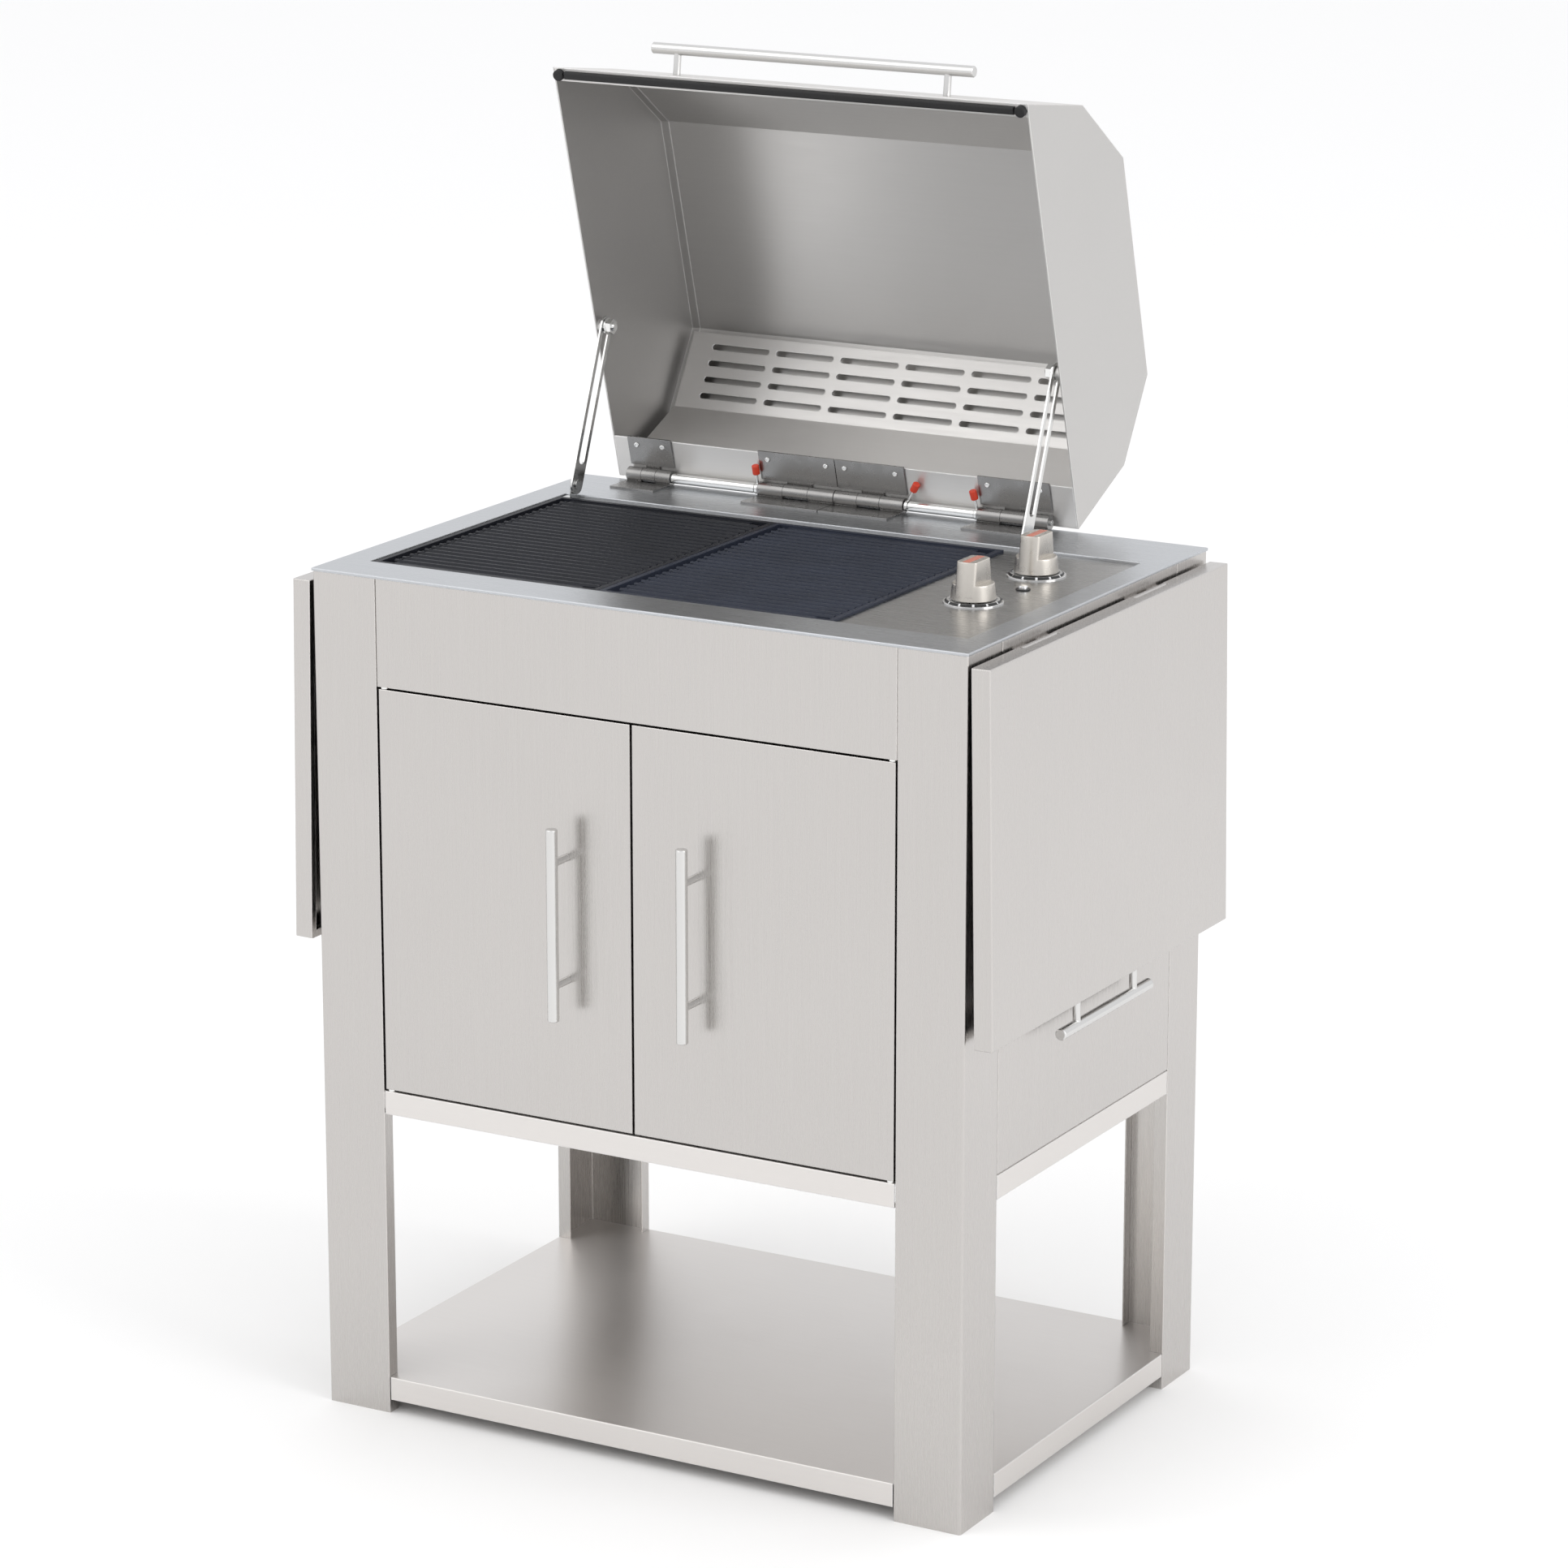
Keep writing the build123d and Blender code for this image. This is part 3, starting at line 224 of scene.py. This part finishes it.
finish(
    brushed("heat_tinted_sheet", HOT_SHEET_COLOUR, "x", smooth=0.32, rough=0.5),
    "firebox",
    "burners",
    "tray_rails",
)
# The drip tray takes the shelf's sheet, painted a third lighter as painted light.
finish(sheet_across_painted_lighter, "drip_tray")

# ---------------------------------------------------------------- gas manifold and valves
# Turned brass, hidden under the deck, with faint tool marks round it. The manifold screws
# into the valves, and its nozzle takes the gas hose at the back.

BRASS_COLOUR = (0.70, 0.52, 0.26)

finish(
    brushed("turned_brass", BRASS_COLOUR, "y", smooth=0.2, rough=0.34),
    "gas_manifold",
    "gas_valves",
)

# ---------------------------------------------------------------- grill plates
# Two cast iron plates that lift out, under satin black enamel; the right one is painted
# bluer and lighter, a painted blue sheen. A row of short teeth stands beside the grease
# channel, one at the end of each rib.

ENAMEL_AND_SHEEN_COLOURS = {"left": (0.006, 0.0067, 0.010), "right": (0.013, 0.016, 0.026)}
RIM = 0.006
CHANNEL = 0.012
RIB_START = 0.0045
RIB_PITCH = 0.0136
RIB_WIDTH = 0.005
PLATE_WIDTH = 0.267
TOOTH = (0.0046, 0.0034, 0.0030)
TOOTH_TAPER = (0.7, 0.6, 1.0)
TOOTH_ROUND = 0.0004
TOOTH_RISE = 0.0006
SAND = (700.0, 700.0, 700.0)
SAND_DEPTH = 0.00015
ENAMEL_PATCHES = (18.0, 18.0, 18.0)
ENAMEL_ROUND = 0.0008


def enamel(name, colour):
    """Glassy enamel over the grain of sand-cast iron."""
    material = bpy.data.materials.new(name)
    shader = shader_of(material)
    tree = material.node_tree
    shader.inputs["Specular IOR Level"].default_value = 0.3
    sand = noise(tree, SAND, 3.0, 0.6)
    patches = noise(tree, ENAMEL_PATCHES, 3.0)
    normal, edge = eased_edges(tree, ENAMEL_ROUND)
    tone = tinted(tree, patches, colour, shade(colour, 2.1))
    # The edges are painted 2.8 times brighter, a painted highlight.
    tree.links.new(painted_edge_highlight(tree, tone, edge, shade(colour, 2.8)), shader.inputs["Base Color"])
    tree.links.new(ranged(tree, sand, 0.42, 0.6), shader.inputs["Roughness"])
    raised(tree, shader, sand, 0.35, SAND_DEPTH, normal)
    return material


def start_piece(name):
    """Names the mesh just added and opens it for editing with nothing picked."""
    piece = bpy.context.object
    piece.name = name
    piece.data.name = name
    bpy.ops.object.mode_set(mode="EDIT")
    bpy.ops.mesh.select_all(action="DESELECT")
    return piece


def pick(piece, kind, test):
    """Picks the faces, edges or verts of the open mesh that pass a test, and drops the rest."""
    mesh = bmesh.from_edit_mesh(piece.data)
    for face in mesh.faces:
        face.select = False
    for edge in mesh.edges:
        edge.select = False
    for vert in mesh.verts:
        vert.select = False
    bpy.ops.mesh.select_mode(type={"faces": "FACE", "edges": "EDGE", "verts": "VERT"}[kind])
    for part in getattr(mesh, kind):
        if test(part):
            part.select_set(True)
    bmesh.update_edit_mesh(piece.data)


def middle(part):
    """Middle of an edge or a face."""
    if isinstance(part, bmesh.types.BMEdge):
        return (part.verts[0].co + part.verts[1].co) / 2
    return part.calc_center_median()


def end_piece(piece, material, angle=35.0):
    """Closes the mesh, turns its faces outwards, smooths it and gives it its finish."""
    bpy.ops.mesh.select_all(action="SELECT")
    bpy.ops.mesh.remove_doubles(threshold=1e-6)
    bpy.ops.mesh.normals_make_consistent(inside=False)
    bpy.ops.object.mode_set(mode="OBJECT")
    bpy.ops.object.transform_apply(location=True, rotation=True, scale=True)
    bpy.ops.object.shade_smooth_by_angle(angle=math.radians(angle))
    piece.data.materials.clear()
    piece.data.materials.append(material)
    return piece


def copies(piece, name, places):
    """One object of many copies of a piece, each moved by its own matrix."""
    made = []
    for place in places:
        copy = bpy.data.objects.new(name, piece.data.copy())
        copy.data.transform(place)
        bpy.context.scene.collection.objects.link(copy)
        made.append(copy)
    bpy.data.objects.remove(piece)
    bpy.ops.object.select_all(action="DESELECT")
    for copy in made:
        copy.select_set(True)
    bpy.context.view_layer.objects.active = made[0]
    if len(made) > 1:
        bpy.ops.object.join()
    group = bpy.context.object
    group.name = name
    group.data.name = name
    return group


for hand, colour in ENAMEL_AND_SHEEN_COLOURS.items():
    plate = f"grill_plate_{hand}"
    plate_enamel = enamel(f"{hand}_enamel", colour)
    finish(plate_enamel, plate)
    low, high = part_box(plate)
    bpy.ops.object.select_all(action="DESELECT")
    bpy.ops.mesh.primitive_cube_add(size=1.0)
    tooth = start_piece("tooth")
    bpy.ops.mesh.select_all(action="SELECT")
    bpy.ops.transform.resize(value=TOOTH)
    pick(tooth, "verts", lambda v: v.co.z > 0)
    bpy.ops.transform.resize(value=TOOTH_TAPER)
    pick(tooth, "edges", lambda e: middle(e).z > -TOOTH[2] * 0.4)
    bpy.ops.mesh.bevel(offset=TOOTH_ROUND, segments=2, affect="EDGES")
    tooth = end_piece(tooth, plate_enamel, 50.0)
    rim_front = low.y + RIM
    run = high.y - low.y - 2 * RIM - RIB_WIDTH
    steps = int(round(run / RIB_PITCH - 0.5))
    plate_left = low.x if hand == "right" else high.x - PLATE_WIDTH
    tooth_x = plate_left + RIM + CHANNEL + RIB_START / 2
    tooth_z = high.z - TOOTH[2] / 2 + TOOTH_RISE
    places = []
    for count in range(1, steps):
        y = rim_front + RIB_WIDTH / 2 + count * run / steps
        places.append(Matrix.Translation((tooth_x, y, tooth_z)))
    teeth = copies(tooth, f"plate_teeth_{hand}", places)
    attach(teeth, plate)

# ---------------------------------------------------------------- lid
# The lid is folded from one sheet with an end plate flanged over at each side, and the
# vented panel is riveted inside. The grain runs across, from end to end.

LID_COLOUR = (0.60, 0.589, 0.576)

finish(
    brushed("lid_sheet", LID_COLOUR, "x", smooth=0.36, rough=0.46, strength=0.5, drawn=0.9),
    "lid_end_left",
    "lid_end_right",
)
# The shell is this sheet painted an eighth lighter and the vent panel a fifth lighter, painted
# light that lifts the shaded inside of the lid.
finish(
    brushed("lid_shell_sheet_painted_lighter", shade(LID_COLOUR, 1.12), "x", 0.36, 0.46, strength=0.5, drawn=0.9),
    "lid_shell",
)
finish(
    brushed("vent_sheet_painted_lighter", shade(LID_COLOUR, 1.2), "x", smooth=0.34, rough=0.44, drawn=0.9),
    "lid_vent_panel",
)

# ---------------------------------------------------------------- seal and buffers
# Black silicone: a strip pressed into the front rim, and a round buffer at each corner.
# The door catch is black moulded plastic.

MATT_ROUND = 0.0004
MATT_DEPTH = 0.0001
PATCHES_PER_GRAIN = 25


def matt(name, colour, rough, grain_scale, strength):
    """Rubber, plastic or paint: an even colour, lightly mottled, with a fine skin."""
    material = bpy.data.materials.new(name)
    shader = shader_of(material)
    tree = material.node_tree
    skin = noise(tree, (grain_scale,) * 3, 3.0)
    patches = noise(tree, (grain_scale / PATCHES_PER_GRAIN,) * 3, 2.0)
    normal, edge = eased_edges(tree, MATT_ROUND)
    tone = tinted(tree, patches, shade(colour, 0.8), shade(colour, 1.15))
    # The edges are painted 1.5 times brighter, a painted highlight.
    tree.links.new(painted_edge_highlight(tree, tone, edge, shade(colour, 1.5)), shader.inputs["Base Color"])
    tree.links.new(ranged(tree, skin, rough - 0.08, rough + 0.08), shader.inputs["Roughness"])
    raised(tree, shader, skin, strength, MATT_DEPTH, normal)
    return material


finish(
    matt("black_silicone", (0.006, 0.006, 0.0065), 0.6, 900.0, 0.25),
    "lid_seal",
    "lid_buffers",
)
finish(matt("black_moulding", (0.03, 0.03, 0.032), 0.45, 1200.0, 0.3), "door_catch")

# ---------------------------------------------------------------- lid hinge
# Four hinges on one rod, with bright tubes between them. The leaves are pressed steel held
# by small pan-head screws, and each torsion spring ends in a dipped red cap.

LEAF_TURN = -74.4
HINGE_AXIS = Vector((0.0, 0.260, 0.908))
HINGE_SETS = ((-0.315, -0.261), (-0.152, -0.059), (-0.058, 0.025), (0.113, 0.197))
SCREW_INSET = 0.011
SCREW_REACH = 0.033
SCREW_RADIUS = 0.0030
SCREW_HEIGHT = 0.0016
SCREW_SIDES = 20
LEAF_UNDERSIDE = 0.006
HAZE = (90.0, 90.0, 90.0)
RIPPLE = (420.0, 420.0, 420.0)
PLATED_ROUND = 0.0005
RIPPLE_DEPTH = 0.0001


def plated(name, colour, smooth, rough):
    """Bright plating over a polished part, faintly uneven."""
    material = bpy.data.materials.new(name)
    shader = shader_of(material)
    tree = material.node_tree
    shader.inputs["Metallic"].default_value = 1.0
    haze = noise(tree, HAZE, 4.0)
    ripple = noise(tree, RIPPLE, 2.0)
    normal, edge = eased_edges(tree, PLATED_ROUND)
    tone = tinted(tree, haze, shade(colour, 0.93), shade(colour, 1.05))
    # The edges are painted a little brighter, a painted highlight.
    tree.links.new(painted_edge_highlight(tree, tone, edge, shade(colour, 1.15)), shader.inputs["Base Color"])
    tree.links.new(ranged(tree, haze, smooth, rough), shader.inputs["Roughness"])
    raised(tree, shader, ripple, 0.06, RIPPLE_DEPTH, normal)
    return material


def pan_head(radius, height, material):
    """One pan-head screw, standing on the origin: a domed rim and a sunk drive."""
    bpy.ops.object.select_all(action="DESELECT")
    bpy.ops.mesh.primitive_cylinder_add(
        vertices=SCREW_SIDES, radius=radius, depth=height, location=(0, 0, height / 2)
    )
    screw = start_piece("screw")
    pick(screw, "edges", lambda e: min(v.co.z for v in e.verts) > height * 0.4)
    bpy.ops.mesh.bevel(offset=height * 0.6, segments=4, affect="EDGES")
    pick(screw, "faces", lambda f: f.normal.z > 0.99)
    bpy.ops.mesh.inset(thickness=radius * 0.25)
    bpy.ops.mesh.extrude_region_move(TRANSFORM_OT_translate={"value": (0, 0, -height * 0.45)})
    return end_piece(screw, material)


bright_plate = plated("bright_plate", (0.80, 0.80, 0.79), 0.06, 0.17)
hinge_steel = plated("hinge_steel", (0.30, 0.295, 0.29), 0.22, 0.36)
finish(
    bright_plate,
    "lid_hinge_tubes",
    "lid_hinge_rod",
    "lid_springs",
    "door_hinge_pins",
    "leaf_hinge_pins",
)
finish(hinge_steel, "lid_hinge_leaves", "lid_hinge_fixed_leaves")
finish(matt("red_dip", (0.70, 0.055, 0.022), 0.36, 500.0, 0.1), "lid_spring_caps")

swing = (
    Matrix.Translation(HINGE_AXIS)
    @ Matrix.Rotation(math.radians(LEAF_TURN), 4, "X")
    @ Matrix.Translation(-HINGE_AXIS)
)
under_leaf = HINGE_AXIS.z + LEAF_UNDERSIDE
places = []
for start, stop in HINGE_SETS:
    for x in (start + SCREW_INSET, stop - SCREW_INSET):
        foot = Matrix.Translation((x, HINGE_AXIS.y - SCREW_REACH, under_leaf))
        places.append(swing @ foot @ Matrix.Rotation(math.pi, 4, "X"))
one_screw = pan_head(SCREW_RADIUS, SCREW_HEIGHT, bright_plate)
lid_screws = copies(one_screw, "lid_hinge_screws", places)
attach(lid_screws, "lid")

# ---------------------------------------------------------------- lid stays
# Slotted flat bars of bright stainless, pinned to brackets on the deck. A stud on the lid
# slides in each slot, held by a washer and a nut.

finish(
    plated("stay_steel", (0.68, 0.68, 0.67), 0.12, 0.24),
    "lid_stay_left",
    "lid_stay_right",
    "lid_stay_brackets",
)
finish(bright_plate, "lid_stay_stud_left", "lid_stay_stud_right")

# ---------------------------------------------------------------- knobs
# Zinc castings in satin nickel. A salmon-red pointer strip is let into the top of the
# grip, and black dashes are printed round the cone of the chrome ring below.

KNOBS = {"front": (0.2735, -0.060), "rear": (0.2735, 0.077)}
KNOB_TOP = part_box("knob_front")[1].z
POINTER = (0.0082, 0.0335, 0.0008)
POINTER_CORNER = 0.0012
POINTER_EDGE = 0.00015
POINTER_RISE = 0.0001
RING_FOOT = 0.8970
DASH_COUNT = 12
DASH_SHARE = 0.82
DASH_STEPS = 72
DASH_OUTER = (0.02845, 0.0016)
DASH_INNER = (0.0267, 0.0034)
DASH_LIFT = 0.00015

satin_nickel = plated("satin_nickel", (0.64, 0.605, 0.555), 0.24, 0.36)
chrome = plated("chrome", (0.84, 0.84, 0.84), 0.03, 0.09)
pointer_red = matt("pointer_red", (0.56, 0.20, 0.145), 0.5, 800.0, 0.15)
print_black = matt("print_black", (0.012, 0.012, 0.012), 0.45, 1500.0, 0.1)
finish(satin_nickel, "knob_front", "knob_rear", "knob_collar_front", "knob_collar_rear")
finish(chrome, "knob_bezels", "igniter_button")
finish(print_black, "igniter_housing")

for name, (x, y) in KNOBS.items():
    bpy.ops.object.select_all(action="DESELECT")
    pointer_z = KNOB_TOP - POINTER[2] / 2 + POINTER_RISE
    bpy.ops.mesh.primitive_cube_add(size=1.0, location=(x, y, pointer_z))
    strip = start_piece(f"knob_pointer_{name}")
    bpy.ops.mesh.select_all(action="SELECT")
    bpy.ops.transform.resize(value=POINTER)
    pick(strip, "edges", lambda e: abs(e.verts[0].co.z - e.verts[1].co.z) > 1e-5)
    bpy.ops.mesh.bevel(offset=POINTER_CORNER, segments=4, affect="EDGES")
    pick(strip, "edges", lambda e: min(v.co.z for v in e.verts) > 0)
    bpy.ops.mesh.bevel(offset=POINTER_EDGE, segments=2, affect="EDGES")
    strip = end_piece(strip, pointer_red)
    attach(strip, f"knob_{name}")

    bpy.ops.object.select_all(action="DESELECT")
    bpy.ops.mesh.primitive_circle_add(
        vertices=DASH_STEPS, radius=DASH_OUTER[0], location=(x, y, RING_FOOT + DASH_OUTER[1])
    )
    dashes = start_piece(f"knob_dashes_{name}")
    bpy.ops.mesh.select_all(action="SELECT")
    bpy.ops.mesh.extrude_region_move(
        TRANSFORM_OT_translate={"value": (0, 0, DASH_INNER[1] - DASH_OUTER[1])}
    )
    pick(dashes, "verts", lambda v: v.co.z > 0.0005)
    shrink = DASH_INNER[0] / DASH_OUTER[0]
    bpy.ops.transform.resize(value=(shrink, shrink, 1.0))

    def in_gap(face):
        centre = middle(face)
        turn = math.atan2(centre.y, centre.x) / math.tau * DASH_COUNT
        return turn % 1.0 > DASH_SHARE

    pick(dashes, "faces", in_gap)
    bpy.ops.mesh.delete(type="FACE")
    bpy.ops.mesh.select_all(action="SELECT")
    bpy.ops.mesh.normals_make_consistent(inside=False)
    bpy.ops.object.mode_set(mode="OBJECT")
    print_depth = dashes.modifiers.new("print_depth", "SOLIDIFY")
    print_depth.thickness = DASH_LIFT
    print_depth.offset = 1.0
    bpy.ops.object.modifier_apply(modifier=print_depth.name)
    bpy.ops.object.mode_set(mode="EDIT")
    dashes = end_piece(dashes, print_black)
    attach(dashes, "root")

# A dome-headed screw beside the igniter holds the deck to the valve bracket.
DECK_SCREW = (0.2570, 0.0110, 0.8970)
DECK_SCREW_RADIUS = 0.0026
DECK_SCREW_HEIGHT = 0.0018

one_screw = pan_head(DECK_SCREW_RADIUS, DECK_SCREW_HEIGHT, chrome)
deck_screw = copies(one_screw, "deck_screw", [Matrix.Translation(DECK_SCREW)])
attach(deck_screw, "root")

# ---------------------------------------------------------------- doors, leaves and their handles
# Folded trays of the same sheet as the cart, with an upright grain. The handles are ground
# round bar on two turned posts, screwed from behind.

BAR_COLOUR = (0.66, 0.655, 0.645)

finish(sheet_upright, "door_left", "door_right", "leaf_left", "leaf_right")
upright_bar = brushed("ground_bar_upright", BAR_COLOUR, "z", smooth=0.16, rough=0.26)
long_bar = brushed("ground_bar_long", BAR_COLOUR, "x", smooth=0.16, rough=0.26)
deep_bar = brushed("ground_bar_deep", BAR_COLOUR, "y", smooth=0.16, rough=0.26)
finish(upright_bar, "door_handle_left", "door_handle_right")
finish(long_bar, "lid_handle")
finish(deep_bar, "leaf_handle_left", "leaf_handle_right", "leaf_stay_left", "leaf_stay_right")

# Round nodes come as flat facets, so they are welded and smoothed, and split at their edges.
WELD_DISTANCE = 0.00001
SHARPEST_BEND = 28
ROUND_NODES = (
    "door_handle_left",
    "door_handle_right",
    "lid_handle",
    "leaf_handle_left",
    "leaf_handle_right",
    "leaf_stay_left",
    "leaf_stay_right",
    "lid_hinge_tubes",
    "lid_hinge_rod",
    "lid_hinge_leaves",
    "lid_hinge_fixed_leaves",
    "lid_springs",
    "lid_spring_caps",
    "lid_buffers",
    "lid_seal",
    "lid_stay_left",
    "lid_stay_right",
    "lid_stay_stud_left",
    "lid_stay_stud_right",
    "lid_stay_brackets",
    "knob_front",
    "knob_rear",
    "knob_collar_front",
    "knob_collar_rear",
    "knob_bezels",
    "igniter_button",
    "igniter_housing",
    "gas_manifold",
    "gas_valves",
    "burners",
    "door_hinge_pins",
    "leaf_hinge_pins",
)
for name in ROUND_NODES:
    piece = nodes[name]
    weld = piece.modifiers.new("weld", "WELD")
    weld.merge_threshold = WELD_DISTANCE
    split = piece.modifiers.new("split", "EDGE_SPLIT")
    split.split_angle = math.radians(SHARPEST_BEND)
    piece.data.shade_smooth()

# ---------------------------------------------------------------- studio
# A pale floor, a bright even room, and two large soft boxes.

FLOOR_TONE = (0.97, 0.967, 0.96)
FLOOR_HALF = 30.0
FLOOR_DUST = (1.5, 1.5, 1.5)
ROOM_TONE = (0.98, 0.985, 1.0, 1.0)
AIM = Vector((0.0, 0.0, 0.7))


def soft_box(name, place, size, power, tone):
    """A large square soft light that faces the cart."""
    light = bpy.data.lights.new(name, "AREA")
    light.shape = "SQUARE"
    light.size = size
    light.energy = power
    light.color = tone
    lamp = bpy.data.objects.new(name, light)
    lamp.location = place
    aim = AIM - Vector(place)
    lamp.rotation_euler = aim.to_track_quat("-Z", "Y").to_euler()
    bpy.context.scene.collection.objects.link(lamp)


world = bpy.data.worlds.new("room")
world.use_nodes = True
background = world.node_tree.nodes["Background"]
background.inputs["Color"].default_value = ROOM_TONE
background.inputs["Strength"].default_value = 1.0
bpy.context.scene.world = world

soft_box("key_box", (-4.0, -6.0, 7.0), 7.0, 150.0, (1.0, 0.985, 0.96))
soft_box("side_box", (7.0, -0.5, 4.0), 5.0, 170.0, (1.0, 0.99, 0.98))

bpy.ops.object.select_all(action="DESELECT")
bpy.ops.mesh.primitive_plane_add(size=2 * FLOOR_HALF, location=(0, 0, 0))
floor = start_piece("studio_floor")
bpy.ops.mesh.select_all(action="SELECT")
bpy.ops.mesh.subdivide(number_cuts=4)
bpy.ops.object.mode_set(mode="OBJECT")
floor_paint = bpy.data.materials.new("studio_floor_paint")
shader = shader_of(floor_paint)
shader.inputs["Roughness"].default_value = 0.9
shader.inputs["Specular IOR Level"].default_value = 0.1
dust = noise(floor_paint.node_tree, FLOOR_DUST, 2.0)
floor_tone = tinted(floor_paint.node_tree, dust, shade(FLOOR_TONE, 0.995), FLOOR_TONE)
floor_paint.node_tree.links.new(floor_tone, shader.inputs["Base Color"])
floor.data.materials.append(floor_paint)

# ---------------------------------------------------------------- camera
# A long lens at standing height, in front and to the right of the cart.

CAMERA_PLACE = (2.7653, -4.8483, 2.1560)
CAMERA_HEADING = 29.48
CAMERA_DIP = 15.0
LENS = 128.47
SENSOR_WIDTH = 36.0
FAR_CLIP = 200.0

lens = bpy.data.cameras.new("camera")
lens.sensor_width = SENSOR_WIDTH
lens.lens = LENS
lens.clip_end = FAR_CLIP
camera = bpy.data.objects.new("camera", lens)
camera.location = CAMERA_PLACE
camera.rotation_euler = (math.radians(90 - CAMERA_DIP), 0.0, math.radians(CAMERA_HEADING))
bpy.context.scene.collection.objects.link(camera)
bpy.context.scene.camera = camera
bpy.context.scene.view_settings.view_transform = "Standard"
